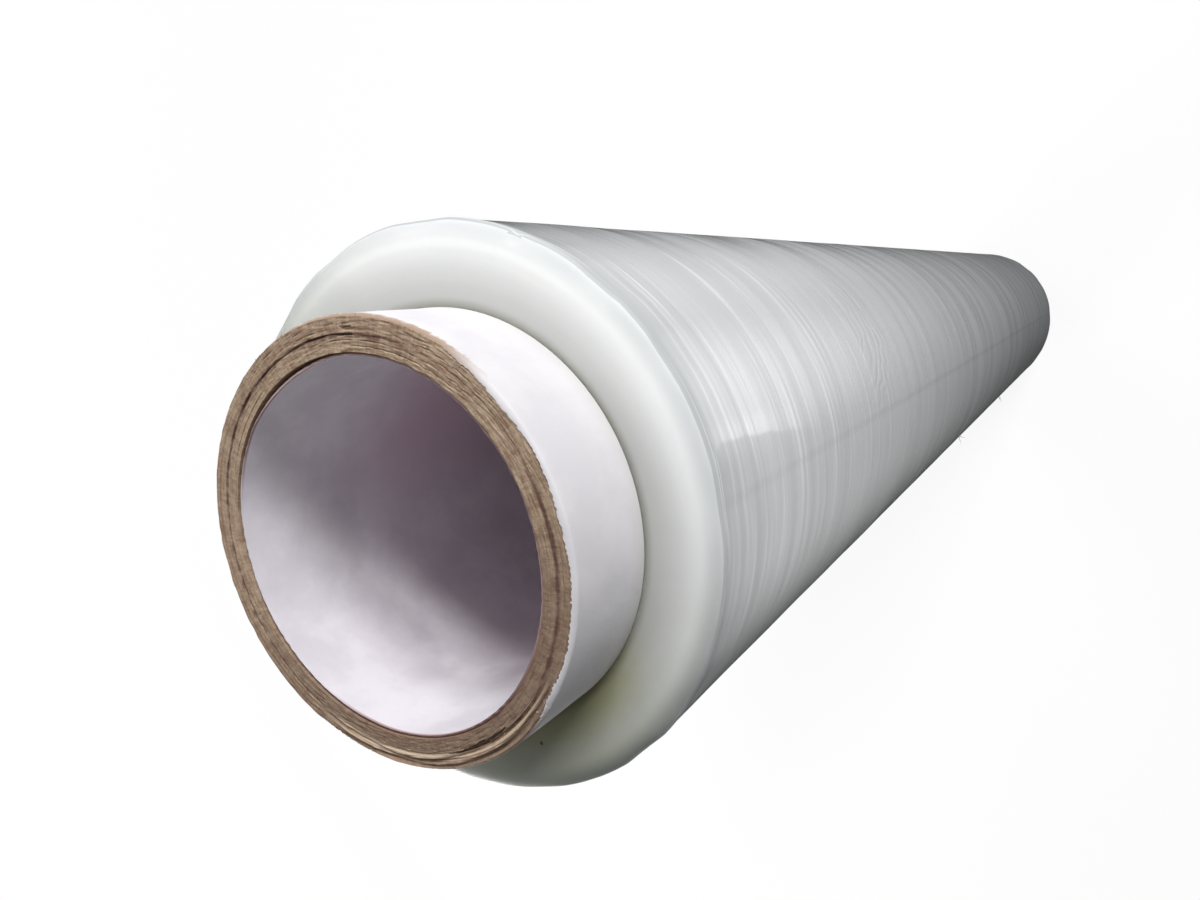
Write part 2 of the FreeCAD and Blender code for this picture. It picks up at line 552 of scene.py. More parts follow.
@dataclass(frozen=True)
class FilmEndFinish:
    """Milky cut edges of the turns at the ends of the roll: white, with painted shade, olive grey away from the main
    lamp and darker near the core and at the rim.
    """

    pale: Colour = (0.93, 0.94, 0.935)
    # Painted shade: olive grey for the side of the end faces away from the main lamp.
    painted_olive_shade: Colour = (0.385, 0.40, 0.335)
    # Painted shade: the tint that darkens the end faces towards the core.
    core_shade_tint: Colour = (0.63, 0.63, 0.61)
    # Painted shade: a warm yellow tint for the shaded part near the core.
    warm_shade_tint: Colour = (0.93, 0.88, 0.58)
    # Painted shade: the tint that darkens the end faces at the rounded rim.
    painted_rim_shade: Colour = (0.65, 0.66, 0.67)
    # Painted shade: the tint for the shade where the end face meets the core.
    junction_shade: Colour = (0.60, 0.60, 0.50)
    speck: Colour = (0.03, 0.035, 0.02)
    ring_spacing: float = 0.5 * MM
    # Painted light: the end faces are painted whitest towards this angle, where the main lamp stands.
    lit_side_angle: float = -60.0
    speck_place: tuple[float, float] = (-34.0 * MM, 0.6 * MM)

    def build(self, effects: SharedEffects) -> bpy.types.Material:
        """Make the material.

        Args:
            effects: The shared shader groups.

        Returns:
            The new material.
        """
        material, sheet, shader = blank_material("film_end", self.pale)
        around = around_axis(sheet)
        rings = sheet.group(effects.lines, Across=around.radius, Place=around.place, Spacing=self.ring_spacing)
        cloud = sheet.noise(around.place, 110.0, 3.0)
        # Painted light and shade: white on the side towards the main lamp, olive grey shade on the far side.
        towards = sheet.plus(facing(sheet, around, self.lit_side_angle), sheet.weighed((0.25, cloud)))
        painted_light = sheet.between(towards, -0.35, 0.9)
        colour = sheet.mix(painted_light, self.painted_olive_shade, self.pale)
        # Painted shade: darker towards the core, where the stub of the core shades the face.
        shade = sheet.between(around.radius, 29.5 * MM, 39 * MM)
        colour = sheet.mix(1.0, colour, sheet.mix(shade, self.core_shade_tint, (1, 1, 1)), "MULTIPLY")
        # Painted shade: darker at the rounded rim, where the face turns away from the light.
        rim = sheet.between(around.radius, 37.7 * MM, 40.8 * MM)
        colour = sheet.tinted(rim, colour, self.painted_rim_shade)
        # Painted shade: a warm yellow tint near the core, on the side away from the main lamp.
        shaded_near_core = sheet.between(around.radius, 37 * MM, 31 * MM)
        shaded_near_core = sheet.times(shaded_near_core, sheet.between(painted_light, 0.75, 0.1))
        colour = sheet.tinted(shaded_near_core, colour, self.warm_shade_tint)
        # Painted shade: darker where the face meets the core.
        junction_shade = sheet.between(around.radius, 30.1 * MM, 31.6 * MM, 0.7, 0.0)
        colour = sheet.tinted(junction_shade, colour, self.junction_shade)
        ring_share = sheet.between(rings.outputs["Broad"], 0.3, 0.7, 0.975, 1.0)
        ring_tone = sheet.join(ring_share, ring_share, ring_share)
        colour = sheet.mix(1.0, colour, ring_tone, "MULTIPLY")
        offset_x = sheet.minus(around.x, self.speck_place[0])
        offset_y = sheet.minus(around.y, self.speck_place[1])
        in_speck = sheet.between(sheet.length(offset_x, offset_y), 0.38 * MM, 0.18 * MM)
        colour = sheet.mix(in_speck, colour, self.speck)
        sheet.feed(shader.inputs["Base Color"], colour)
        sheet.feed(shader.inputs["Normal"], sheet.bump(rings.outputs["Fine"], 0.006 * MM, 0.4))
        shader.inputs["Roughness"].default_value = 0.5
        shader.inputs["Specular IOR Level"].default_value = 0.25
        shader.inputs["Subsurface Weight"].default_value = 0.85
        shader.inputs["Subsurface Radius"].default_value = (1.0, 1.0, 0.92)
        shader.inputs["Subsurface Scale"].default_value = 5 * MM
        return material


@dataclass(frozen=True)
class BoardFinish:
    """Brown recycled board: saw marks across the wall, mottled fibre, traces of the glued plies, and painted shade
    on the side towards -X and along the split.
    """

    dark: Colour = (0.10, 0.058, 0.045)
    brown: Colour = (0.275, 0.178, 0.122)
    pale: Colour = (0.52, 0.40, 0.285)
    # Painted shade: dark red for the shade inside the split.
    split_shade_red: Colour = (0.085, 0.035, 0.035)
    russet: Colour = (0.21, 0.115, 0.085)
    torn: Colour = (0.60, 0.47, 0.35)
    fibre_size: float = 2.0 * MM
    mean_radius: float = 27.5 * MM
    split_radius: float = 27.45 * MM
    ply_lines: float = 0.28 * MM
    # Painted shade: the arcs where the split is painted dark.
    split_shade_arcs: tuple[Arc, Arc] = (Arc(50.0, 172.0, 14.0), Arc(-132.0, 96.0, 24.0))
    torn_layers: Arc = Arc(174.0, 84.0, 22.0)

    def build(self, effects: SharedEffects) -> bpy.types.Material:
        """Make the material.

        Args:
            effects: The shared shader groups.

        Returns:
            The new material.
        """
        material, sheet, shader = blank_material("brown_board", self.brown)
        around = around_axis(sheet)
        fibre = sheet.group(effects.fibre, Place=around.place, Size=self.fibre_size)
        plies = sheet.group(effects.lines, Across=around.radius, Place=around.place, Spacing=self.ply_lines)
        round_it = sheet.times(around.angle, math.radians(1) * self.mean_radius)
        across = sheet.math("DIVIDE", around.radius, 2 * MM)
        saw_place = sheet.join(sheet.math("DIVIDE", round_it, 0.5 * MM), across)
        saw = sheet.noise(saw_place, 1.0, 3.0, 0.6)
        mottle, hairs = fibre.outputs
        tone = sheet.weighed((0.32, saw), (0.42, mottle), (0.26, plies.outputs["Fine"]))
        body = sheet.mix(sheet.between(tone, 0.34, 0.65), self.brown, self.pale)
        # Painted shade: the sawn end is darker on the side towards -X.
        side_shade = sheet.between(facing(sheet, around, 0.0), -0.85, 0.3, 0.75, 0.0)
        body = sheet.mix(sheet.times(side_shade, 0.7), body, self.dark)
        body = sheet.mix(sheet.between(hairs, 0.62, 0.72, 0.0, 0.5), body, self.dark)
        streaks = sheet.between(plies.outputs["Broad"], 0.50, 0.68, 0.0, 0.5)
        body = sheet.mix(streaks, body, self.russet)
        # Painted shade: dark red in the split between the plies, where it lies open.
        split = sheet.math("ABSOLUTE", sheet.minus(around.radius, self.split_radius))
        split = sheet.between(sheet.times_plus(mottle, 0.9 * MM, split), 0.85 * MM, 0.45 * MM)
        split_shaded = sheet.math("MAXIMUM", *(within(sheet, around, arc) for arc in self.split_shade_arcs))
        split = sheet.times(split, split_shaded)
        body = sheet.mix(sheet.times(split, 0.75), body, self.split_shade_red)
        layers = sheet.between(plies.outputs["Fine"], 0.44, 0.60, 0.0, 0.75)
        layers = sheet.times(layers, within(sheet, around, self.torn_layers))
        layers = sheet.times(layers, sheet.between(around.radius, 26.9 * MM, 27.5 * MM))
        layers = sheet.times(layers, sheet.between(around.radius, 29.0 * MM, 28.5 * MM))
        body = sheet.mix(layers, body, self.torn)
        sheet.feed(shader.inputs["Base Color"], body)
        height = sheet.weighed((0.6, saw), (1.0, mottle), (0.7, hairs), (0.3, plies.outputs["Fine"]))
        sheet.feed(shader.inputs["Normal"], sheet.bump(height, 0.11 * MM, 0.85))
        shader.inputs["Roughness"].default_value = 0.92
        shader.inputs["Specular IOR Level"].default_value = 0.15
        return material


@dataclass(frozen=True)
class PaperFinish:
    """Smooth white paper with a faint cast."""

    name: str
    pale: Colour
    cast: Colour
    fibre_size: float = 9 * MM

    def tint(self, sheet: NodeSheet, around: Around, colour: Socket) -> Socket:
        """Add the tints of one ply. Plain paper has none.

        Args:
            sheet: The material's sheet.
            around: The material's places.
            colour: The paper's own colour.

        Returns:
            The tinted colour.
        """
        return colour

    def build(self, effects: SharedEffects) -> bpy.types.Material:
        """Make the material.

        Args:
            effects: The shared shader groups.

        Returns:
            The new material.
        """
        material, sheet, shader = blank_material(self.name, self.pale)
        around = around_axis(sheet)
        fibre = sheet.group(effects.fibre, Place=around.place, Size=self.fibre_size)
        mottle, hairs = fibre.outputs
        colour = sheet.mix(sheet.between(mottle, 0.36, 0.64), self.cast, self.pale)
        sheet.feed(shader.inputs["Base Color"], self.tint(sheet, around, colour))
        fibres = sheet.weighed((1.0, mottle), (0.2, hairs))
        sheet.feed(shader.inputs["Normal"], sheet.bump(fibres, 0.25 * MM, 0.5))
        shader.inputs["Roughness"].default_value = 0.62
        shader.inputs["Specular IOR Level"].default_value = 0.3
        return material


@dataclass(frozen=True)
class BoreFinish(PaperFinish):
    """Paper that lines the bore: pinkish, with painted shade deeper down and on the lit wall near the top, and with
    a brown sawn edge.
    """

    # Painted shade over the liner's own pink: darker and pinker deep in the bore.
    deep: Colour = (0.76, 0.58, 0.67)
    # Painted shade: grey tint that darkens the wall lit by the main lamp.
    lit_wall_shade_tint: Colour = (0.735, 0.73, 0.74)
    edge: Colour = (0.30, 0.17, 0.15)
    top: float = 531.7 * MM
    # Painted shade: the arc where the depth shade is strongest, away from the main lamp.
    deepest_shade: Arc = Arc(18.0, 84.0, 44.0)
    # Painted shade: the arc of the wall that the main lamp lights.
    lit_wall_shaded: Arc = Arc(148.0, 172.0, 50.0)
    clean_edge: Arc = Arc(92.0, 84.0, 30.0)

    def tint(self, sheet: NodeSheet, around: Around, colour: Socket) -> Socket:
        """Paint shade and more pink into the depth of the bore, paint the lit wall darker near the top, and tint the
        ply's edge.
        """
        # Painted shade: darker and pinker deeper in the bore, most of all on the side away from the main lamp, over
        # the liner's own pink tint.
        cloud = sheet.noise(around.place, 34.0, 3.0)
        depth = sheet.times_plus(cloud, -30 * MM, sheet.minus(self.top, around.height))
        share = sheet.between(depth, -8 * MM, 20 * MM, 0.0, 0.9)
        deepest_shade = within(sheet, around, self.deepest_shade)
        share = sheet.times(share, sheet.times_plus(deepest_shade, 0.75, 0.25))
        colour = sheet.mix(share, colour, self.deep)
        # Painted shade: near the top, the wall that the main lamp lights is painted darker.
        patches = sheet.noise(around.place, 60.0, 3.0)
        shallow = sheet.times_plus(patches, 26 * MM, sheet.minus(around.height, self.top))
        shallow = sheet.between(shallow, -12 * MM, -4 * MM)
        lit_wall_shaded = sheet.times(within(sheet, around, self.lit_wall_shaded), shallow)
        colour = sheet.tinted(lit_wall_shaded, colour, self.lit_wall_shade_tint)
        at_edge = sheet.between(around.height, self.top - 0.5 * MM, self.top - 0.15 * MM, 0.0, 0.85)
        soiled = sheet.minus(1.0, within(sheet, around, self.clean_edge))
        return sheet.mix(sheet.times(at_edge, soiled), colour, self.edge)


@dataclass(frozen=True)
class OuterPlyFinish(PaperFinish):
    """Paper under the film: soiled at the sawn edge where it isn't torn, and with painted shade where the film
    starts.
    """

    soil: Colour = (0.36, 0.25, 0.18)
    # Painted shade: the grey for the paper just above the film.
    foot: Colour = (0.58, 0.57, 0.56)
    top: float = 531.7 * MM
    film_end: float = 516 * MM
    torn: Arc = Arc(-104.0, 92.0, 20.0)

    def tint(self, sheet: NodeSheet, around: Around, colour: Socket) -> Socket:
        """Tint the sawn edge, and paint shade on the foot of the ply."""
        whole = sheet.minus(1.0, within(sheet, around, self.torn))
        cloud = sheet.noise(around.place, 900.0, 3.0)
        below = sheet.times_plus(cloud, -1.4 * MM, sheet.minus(self.top, around.height))
        at_edge = sheet.times(sheet.between(below, 0.15 * MM, -0.55 * MM, 0.0, 0.95), whole)
        colour = sheet.mix(at_edge, colour, self.soil)
        # Painted shade: the paper is darker just above the film, where the film shades it.
        above = sheet.minus(around.height, self.film_end)
        foot_shade = sheet.between(above, 4 * MM, -0.5 * MM, 0.0, 0.75)
        return sheet.mix(foot_shade, colour, self.foot)


# Pieces


def fit_piece(piece: bpy.types.Object, node: str | None) -> None:
    """Let a finished piece ride on the roll, and stand for its CAD node, if it has one."""
    bpy.ops.object.select_all(action="DESELECT")
    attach(piece, BODY)
    if node is not None:
        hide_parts(node)
    LOG.info("%s: %d faces, stands for %s", piece.name, len(piece.data.polygons), node or "no node")


@dataclass
class FilmRoll:
    """The wound film: dished end faces, soft rims and a side with bands and a free edge."""

    steps: int = 384
    rim_corner: float = 1.7 * MM
    rim_width: float = 3.4 * MM
    rim_rise: float = 1.05 * MM
    corner_rings: int = 10
    tail_angle: float = -104.0
    tail_step: float = 0.12 * MM
    rim_waves: float = 0.13 * MM
    flake: Arc = Arc(-41.0, 3.4)
    flake_depth: float = 0.5 * MM
    inner_radius: float = field(init=False)
    outer_radius: float = field(init=False)
    bottom: float = field(init=False)
    top: float = field(init=False)

    def __post_init__(self) -> None:
        """Take the film's size from the frame."""
        low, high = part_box("film_roll")
        self.inner_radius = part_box("core_outer_ply")[1].x
        self.outer_radius = -low.y
        self.bottom = low.z
        self.top = high.z

    def end_face(self, rings: int) -> list[tuple[float, float]]:
        """Radius of each ring of an end face and how far it lies below the rim.

        Args:
            rings: Number of rings between the core and the rounded rim.

        Returns:
            The rings, from the core outwards.
        """
        width = self.outer_radius - self.rim_width - self.inner_radius
        shares = even_steps(0, 1, rings)
        return [(self.inner_radius + share * width, self.rim_rise * (1 - share) ** 1.3) for share in shares]

    def corner(self) -> list[tuple[float, float]]:
        """Radius of each ring of the rounded rim and how far it lies below the rim."""
        rings = []
        for ring in range(self.corner_rings + 1):
            turn = math.pi / 2 * ring / self.corner_rings
            radius = self.outer_radius - self.rim_width * (1 - math.sin(turn))
            rings.append((radius, self.rim_corner * (1 - math.cos(turn))))
        return rings

    def side_heights(self) -> list[float]:
        """Heights of the rings of the side, from the lower rim up, closer together near the upper end."""
        low = self.bottom + self.rim_corner
        high = self.top - self.rim_corner
        far, middle = high - 330 * MM, high - 130 * MM
        heights = even_steps(low, far, 26) + even_steps(far, middle, 62) + even_steps(middle, high, 104)
        return heights[1:]

    def outline(self) -> Outline:
        """The film's closed section."""
        lower = [(radius, self.bottom + drop) for radius, drop in self.end_face(12) + self.corner()]
        upper = [(radius, self.top - drop) for radius, drop in reversed(self.end_face(30) + self.corner())]
        side = [(self.outer_radius, height) for height in self.side_heights()]
        return lower + side + upper

    def side_relief(self, points: Points) -> np.ndarray:
        """How far each point of the side lies inside the rim's radius."""
        depth = self.top - points.height
        bands = Ripple(3, 7, (28 * MM, 90 * MM), 1).at(points.angle, depth)
        lines = Ripple(5, 12, (3.6 * MM, 12 * MM), 3).at(points.angle, depth)
        clear = 1 - 0.6 * smooth_step(150 * MM, 320 * MM, depth)
        relief = 0.12 * MM + clear * (0.03 * MM * bands + 0.003 * MM * lines)
        since_tail = (points.angle - self.tail_angle) % 360 / 360
        relief = relief + self.tail_step * since_tail
        return np.clip(relief, 0.01 * MM, 0.6 * MM)

    def relief(self, points: Points) -> Points:
        """Press the bands, the rim's waves, the groups of turns and the chip into the plain shell."""
        below_rim = np.minimum(self.top - points.height, points.height - self.bottom)
        on_side = smooth_step(0.6 * MM, 4 * MM, below_rim) * (points.radius > self.inner_radius + 5 * MM)
        radius = points.radius - on_side * self.side_relief(points)
        waves = np.clip(Ripple(63, 7, (1 * MM, 2 * MM), 26).at(points.angle, 0 * points.radius), -0.4, 1.4) + 0.4
        at_rim = smooth_step(2.4 * MM, 0.4 * MM, self.outer_radius - points.radius)
        at_rim = at_rim * smooth_step(15 * MM, 3 * MM, below_rim)
        radius = radius - at_rim * self.rim_waves * waves
        groups = Ripple(11, 8, (0.9 * MM, 3.5 * MM), 1).at(points.angle, points.radius)
        on_face = (below_rim < 2 * MM) * smooth_step(0.3 * MM, 2 * MM, self.outer_radius - points.radius)
        on_face = on_face * smooth_step(0.1 * MM, 1.0 * MM, points.radius - self.inner_radius)
        upwards = np.where(points.height > (self.top + self.bottom) / 2, 1, -1)
        height = points.height - upwards * on_face * 0.009 * MM * (1 + groups)
        flake = lens(points.angle, self.flake) * smooth_step(39.6 * MM, 41.0 * MM, points.radius)
        height = height - flake * (upwards > 0) * (below_rim < 2.2 * MM) * self.flake_depth
        return Points(radius, points.angle, height)

    def build(self, side: bpy.types.Material, end: bpy.types.Material) -> None:
        """Model and dress the film.

        Args:
            side: Finish of the side.
            end: Finish of both end faces.
        """
        piece = turned_shell("wound_film", self.outline(), self.steps)
        shape_points(piece, self.relief)
        piece.data.materials.append(side)
        piece.data.materials.append(end)
        centres = np.empty(len(piece.data.polygons) * 3)
        piece.data.polygons.foreach_get("center", centres)
        x, y, z = centres.reshape(-1, 3).T
        below_rim = np.minimum(self.top - z, z - self.bottom)
        inside = np.hypot(x, y) < self.outer_radius - self.rim_width
        on_end = inside | (below_rim < self.rim_corner * 0.6)
        faces = np.where(on_end, Face.END.value, Face.SIDE.value)
        piece.data.polygons.foreach_set("material_index", faces.astype(np.int32))
        bpy.ops.object.shade_smooth_by_angle(angle=math.radians(50))
        fit_piece(piece, "film_roll")


@dataclass
class CoreBoard:
    """The brown board tube: rough sawn upper end with glue lines, a split, a torn gap and a nick."""

    steps: int = 640
    plies: int = 6
    split_after: int = 3
    nick_after: int = 4
    split: Arc = Arc(50.0, 172.0)
    split_depth: float = 0.26 * MM
    gap: Arc = Arc(-172.0, 26.0)
    gap_depth: float = 0.75 * MM
    nick: Arc = Arc(-20.5, 5.0)
    nick_depth: float = 0.22 * MM
    curl: Arc = Arc(-16.5, 4.2)
    torn: Arc = Arc(177.0, 100.0)
    under_fold: Arc = Arc(-98.0, 104.0)
    inner_radius: float = field(init=False)
    outer_radius: float = field(init=False)
    top: float = field(init=False)

    def __post_init__(self) -> None:
        """Take the board's size from the frame."""
        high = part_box("core_board")[1]
        self.outer_radius = high.x
        self.inner_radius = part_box("core_liner")[1].x
        self.top = high.z

    def ply_edge(self, plies: float) -> float:
        """Radius of the glue line outside a number of plies."""
        return self.inner_radius + plies * (self.outer_radius - self.inner_radius) / self.plies

    def end_radii(self) -> list[float]:
        """Radii of the rings of the sawn end, from the bore outwards, closer together at each glue line."""
        radii = {round(self.inner_radius, 6), round(self.outer_radius, 6)}
        for ply in range(self.plies):
            for share in (0.0, 0.12, 0.3, 0.5, 0.7, 0.88):
                radii.add(round(self.ply_edge(ply + share), 6))
        return sorted(radii)

    def outline(self) -> Outline:
        """The board's closed section."""
        depths = [30, 12, 6, 3, 1.2, 0.4]
        walls = [0.0, self.top * 0.5] + [self.top - depth * MM for depth in depths]
        outer = [(self.outer_radius, height) for height in walls]
        end = [(radius, self.top) for radius in reversed(self.end_radii())]
        inner = [(self.inner_radius, height) for height in reversed(walls)]
        return outer + end + inner

    def glue_lines(self, points: Points) -> np.ndarray:
        """Depth of the faint, broken grooves between the plies."""
        depth = np.zeros_like(points.radius)
        for ply in range(1, self.plies):
            near = np.abs(points.radius - self.ply_edge(ply)) < 0.05 * MM
            wander = Ripple(30 + ply, 6, (1 * MM, 2 * MM), 7).at(points.angle, points.radius)
            depth += near * np.clip(0.01 + 0.07 * wander, 0, 0.2) * MM
        return depth

    def tears(self, points: Points) -> np.ndarray:
        """Depth of the split, the torn gap, the nick and the uneven torn plies."""
        split = self.ply_edge(self.split_after)
        broken = Ripple(51, 9, (1 * MM, 3 * MM), 40).at(points.angle, points.radius)
        near_split = np.abs(points.radius - split) < 0.1 * MM
        opened = smooth_step(0, 0.3, lens(points.angle, self.split)) * smooth_step(-0.6, 0.5, broken)
        depth = near_split * opened * self.split_depth
        wander = split + 0.12 * MM * broken
        in_gap = np.abs(points.radius - wander) < 0.30 * MM * lens(points.angle, self.gap)
        depth = np.maximum(depth, in_gap * self.gap_depth)
        nick = self.ply_edge(self.nick_after)
        in_nick = np.abs(points.radius - nick) < 0.32 * MM * lens(points.angle, self.nick)
        depth = np.maximum(depth, in_nick * self.nick_depth)
        torn = smooth_step(0, 0.4, lens(points.angle, self.torn))
        torn = torn * smooth_step(27.2 * MM, 27.9 * MM, points.radius)
        layers = Ripple(57, 10, (0.8 * MM, 1.6 * MM), 8).at(points.angle, points.radius)
        return depth + torn * np.clip(0.22 + 0.24 * layers, 0, 1) * MM

    def relief(self, points: Points) -> Points:
        """Cut the upper end's roughness into the plain tube."""
        on_end = points.height > self.top - 0.1 * MM
        rough = Ripple(21, 26, (0.3 * MM, 1.2 * MM), 90).at(points.angle, points.radius)
        depth = np.clip(0.09 + 0.035 * rough, 0.02, 0.4) * MM + self.glue_lines(points) + self.tears(points)
        curl = lens(points.angle, self.curl) * (np.abs(points.radius - 28.1 * MM) < 0.45 * MM)
        depth = np.where(curl > 0, 0.02 * MM, depth)
        edge = smooth_step(29.0 * MM, 29.5 * MM, points.radius)
        edge = edge * smooth_step(0, 0.3, lens(points.angle, self.under_fold))
        depth = depth + edge * 0.25 * MM
        return Points(points.radius, points.angle, points.height - on_end * depth)

    def build(self, finish: bpy.types.Material) -> None:
        """Model and dress the board.

        Args:
            finish: The board's finish.
        """
        piece = turned_shell("board_tube", self.outline(), self.steps)
        shape_points(piece, self.relief)
        piece.data.materials.append(finish)
        bpy.ops.object.shade_smooth_by_angle(angle=math.radians(50))
        fit_piece(piece, "core_board")


@dataclass
class PaperPly:
    """A white paper ply of the core: a thin tube with an uneven upper edge."""

    name: str
    node: str
    slot: str
    inner_radius: float
    outer_radius: float
    steps: int = 640

    def outline(self) -> Outline:
        """The ply's closed section."""
        low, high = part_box(self.node)
        depths = [60, 45, 32, 24, 18, 15.4, 13, 9, 6, 4, 2.4, 1.2, 0.5]
        heights = [low.z, high.z * 0.25, high.z * 0.5, high.z * 0.75]
        heights += [high.z - depth * MM for depth in depths]
        outer = [(self.outer_radius, height) for height in heights]
        middle = (self.outer_radius + self.inner_radius) / 2
        edge = [(self.outer_radius, high.z - 0.28 * MM), (middle, high.z - 0.06 * MM)]
        edge.append((self.inner_radius, high.z))
        inner = [(self.inner_radius, height) for height in reversed(heights)]
        return outer + edge + inner

    def relief(self, points: Points) -> Points:
        """The uneven edge of the ply."""
        raise NotImplementedError

    def build(self, finish: bpy.types.Material) -> None:
        """Model and dress the ply.

        Args:
            finish: The paper's finish.
        """
        piece = turned_shell(self.name, self.outline(), self.steps)
        shape_points(piece, self.relief)
        piece.data.materials.append(finish)
        bpy.ops.object.shade_smooth_by_angle(angle=math.radians(75))
        fit_piece(piece, self.node)


@dataclass
class BoreLiner(PaperPly):
    """The ply that lines the bore: lifted off the board along a crescent, and slightly buckled."""

    lift: float = 0.34 * MM
    lifted: Arc = Arc(8.0, 44.0)
    eased: Arc = Arc(106.0, 96.0)

    def relief(self, points: Points) -> Points:
        """Lift the ply off the board near the upper end, and buckle the rest a little."""
        top = float(points.height.max())
        away = smooth_step(top - 18 * MM, top, points.height)
        crescent = lens(points.angle, self.lifted) + 0.5 * lens(points.angle, self.eased)
        buckles = 0.05 * MM * Ripple(61, 7, (18 * MM, 50 * MM), 6).at(points.angle, points.height)
        buckles = buckles * smooth_step(0, 8 * MM, points.height)
        radius = points.radius - self.lift * away * crescent - np.clip(buckles + 0.05 * MM, 0, 1 * MM)
        ragged = Ripple(43, 14, (0.5 * MM, 2 * MM), 120).at(points.angle, points.radius)
        near_top = smooth_step(top - 1 * MM, top, points.height)
        height = points.height - near_top * np.clip(ragged, 0, 2) * 0.08 * MM
        return Points(radius, points.angle, height)


@dataclass
class OuterPly(PaperPly):
    """The ply under the film: its torn edge lies over the board along the side towards the light."""

    steps: int = 1280
    torn: Arc = Arc(-98.0, 108.0)

    def relief(self, points: Points) -> Points:
        """Fold the torn edge over the board, with a ragged outline."""
        top = float(points.height.max())
        torn = smooth_step(0, 0.35, lens(points.angle, self.torn))
        ragged = Ripple(47, 24, (0.5 * MM, 2 * MM), 300).at(points.angle, 0 * points.radius)
        drift = Ripple(48, 7, (0.5 * MM, 2 * MM), 22).at(points.angle, 0 * points.radius)
        inside = points.radius < self.inner_radius + 0.1 * MM
        reach = torn * np.clip(0.36 + 0.09 * ragged + 0.14 * drift, 0.05, 0.9) * MM
        near_top = smooth_step(top - 0.6 * MM, top, points.height)
        radius = points.radius - inside * near_top * reach
        rise = near_top * (torn * 0.25 * MM - np.clip(ragged, 0, 2) * 0.07 * MM * (1 - torn))
        dents = 0.06 * MM * Ripple(49, 6, (9 * MM, 30 * MM), 5).at(points.angle, points.height)
        on_stub = smooth_step(top - 15.2 * MM, top - 12 * MM, points.height)
        outside = points.radius > self.outer_radius - 0.1 * MM
        radius = radius - outside * on_stub * np.clip(dents + 0.04 * MM, 0, 0.2 * MM)
        return Points(radius, points.angle, points.height + rise)


@dataclass
class Slivers:
    """A tuft of torn fibres: slender bent cones, modelled once and copied along an arc."""

    name: str
    slot: str
    seed: int
    count: int
    angles: tuple[float, float]
    radii: tuple[float, float]
    heights: tuple[float, float]
    lengths: tuple[float, float]
    thickness: float
    lean: float
    round_share: float
    outward: tuple[float, float] = (-1.0, 1.0)

    def first(self) -> bpy.types.Object:
        """Model one sliver of unit length, standing up, with a ring of points at its middle where its copies are
        bent.
        """
        start_clean()
        bpy.ops.mesh.primitive_cone_add(vertices=4, radius1=1, radius2=0.15, depth=1, location=(0, 0, 0.5))
        sliver = bpy.context.object
        bpy.ops.object.transform_apply(location=True, rotation=False, scale=False)
        bpy.ops.object.mode_set(mode="EDIT")
        bpy.ops.mesh.select_all(action="SELECT")
        bpy.ops.mesh.bisect(plane_co=(0, 0, 0.5), plane_no=(0, 0, 1))
        bpy.ops.object.mode_set(mode="OBJECT")
        return sliver

    def placing(self, draw: random.Random) -> Matrix:
        """Place of one sliver: where it starts, which way it leans, and how large it is."""
        turn = math.radians(draw.uniform(*self.angles))
        radius = draw.uniform(*self.radii)
        foot = Vector((radius * math.cos(turn), radius * math.sin(turn), draw.uniform(*self.heights)))
        out = Vector((math.cos(turn), math.sin(turn), 0))
        along = Vector((-math.sin(turn), math.cos(turn), 0)) * draw.choice((-1, 1))
        way = along * self.round_share + out * draw.uniform(*self.outward) * (1 - self.round_share)
        way = way.normalized() * self.lean + Vector((0, 0, draw.uniform(0.1, 1.0) * (1 - self.lean)))
        length = draw.uniform(*self.lengths)
        width = self.thickness * draw.uniform(0.6, 1.4)
        scale = Matrix.Diagonal((width, width * draw.uniform(0.3, 0.7), length, 1))
        spin = Matrix.Rotation(draw.uniform(0, math.tau), 4, "Z")
        return Matrix.Translation(foot) @ way.to_track_quat("Z", "Y").to_matrix().to_4x4() @ spin @ scale

    def build(self, finish: bpy.types.Material) -> None:
        """Model, copy and dress the slivers.

        Args:
            finish: Their finish.
        """
        draw = random.Random(self.seed)
        sliver = self.first()
        copies = []
        for _ in range(self.count):
            copy = bpy.data.objects.new(self.name, sliver.data.copy())
            bpy.context.scene.collection.objects.link(copy)
            bend = draw.uniform(-1.6, 1.6)
            for vertex in copy.data.vertices:
                if 0.4 < vertex.co.z < 0.6:
                    vertex.co.x += bend
            copy.data.transform(self.placing(draw))
            copies.append(copy)
        bpy.data.objects.remove(sliver)
        start_clean()
        for copy in copies:
            copy.select_set(True)
        bpy.context.view_layer.objects.active = copies[0]
        bpy.ops.object.join()
        tuft = bpy.context.object
        tuft.name = self.name
        tuft.data.name = self.name
        bpy.ops.object.mode_set(mode="EDIT")
        bpy.ops.mesh.select_all(action="SELECT")
        bpy.ops.mesh.normals_make_consistent(inside=False)
        bpy.ops.object.mode_set(mode="OBJECT")
        tuft.data.materials.clear()
        tuft.data.materials.append(finish)
        fit_piece(tuft, None)


# Studio


